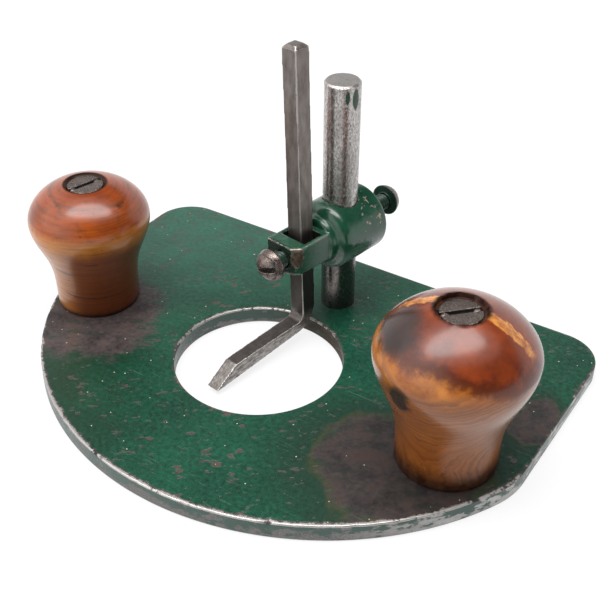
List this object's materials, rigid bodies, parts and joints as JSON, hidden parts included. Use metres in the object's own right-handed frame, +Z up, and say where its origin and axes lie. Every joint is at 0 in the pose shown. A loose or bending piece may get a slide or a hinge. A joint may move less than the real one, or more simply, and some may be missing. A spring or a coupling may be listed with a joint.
{
  "type": "hand router plane",
  "caption": "Hand router plane: painted steel plate with a round throat, turned wooden knobs, and a post with a sliding holder clamping an L-shaped cutter.",
  "frame": {"origin": "middle of the plate's outline, on the sole", "axes": "+X to the right knob's side, +Y to the post at the back, +Z up from the sole"},
  "size_m": [0.1991, 0.1473, 0.1136],
  "materials": {
    "green_paint": "worn gloss enamel",
    "bright_steel": "polished and pitted",
    "tool_steel": "dark, worn bright on the edges",
    "screw_steel": "browned",
    "left_wood": "varnished",
    "right_wood": "varnished, darkened by handling"
  },
  "bodies": {
    "base": {"base_plate": "green_paint", "left_knob": "left_wood", "left_knob_screw": "screw_steel", "right_knob": "right_wood", "right_knob_screw": "screw_steel"},
    "column": {"post": "bright_steel", "post_screw": "screw_steel"},
    "holder": {"tool_holder": "green_paint"},
    "tool": {"cutter": "tool_steel"},
    "post_clamp": {"post_clamp_screw": "screw_steel"},
    "cutter_clamp": {"cutter_clamp_screw": "screw_steel"}
  },
  "joints": [
    {"name": "holder_swivel", "type": "hinge", "parent": "base", "child": "column", "pos_m": [0, 0.04455, 0.0064], "axis": [0, 0, 1], "range_deg": [-4, 14]},
    {"name": "holder_slide", "type": "slide", "parent": "column", "child": "holder", "axis": [0, 0, 1], "range_m": [-0.0013, 0.044]},
    {"name": "cutter_slide", "type": "slide", "parent": "holder", "child": "tool", "axis": [-0.0344, 0.0061, 0.9994], "range_m": [-0.0013, 0.014]},
    {"name": "post_clamp_turn", "type": "hinge", "parent": "holder", "child": "post_clamp", "pos_m": [0.00347, 0.06425, 0.0394], "axis": [0.1736, 0.9848, 0], "range_deg": [0, 360]},
    {"name": "cutter_clamp_turn", "type": "hinge", "parent": "holder", "child": "cutter_clamp", "pos_m": [-0.00486, 0.01698, 0.0394], "axis": [-0.1736, -0.9848, 0], "range_deg": [0, 360]}
  ]
}
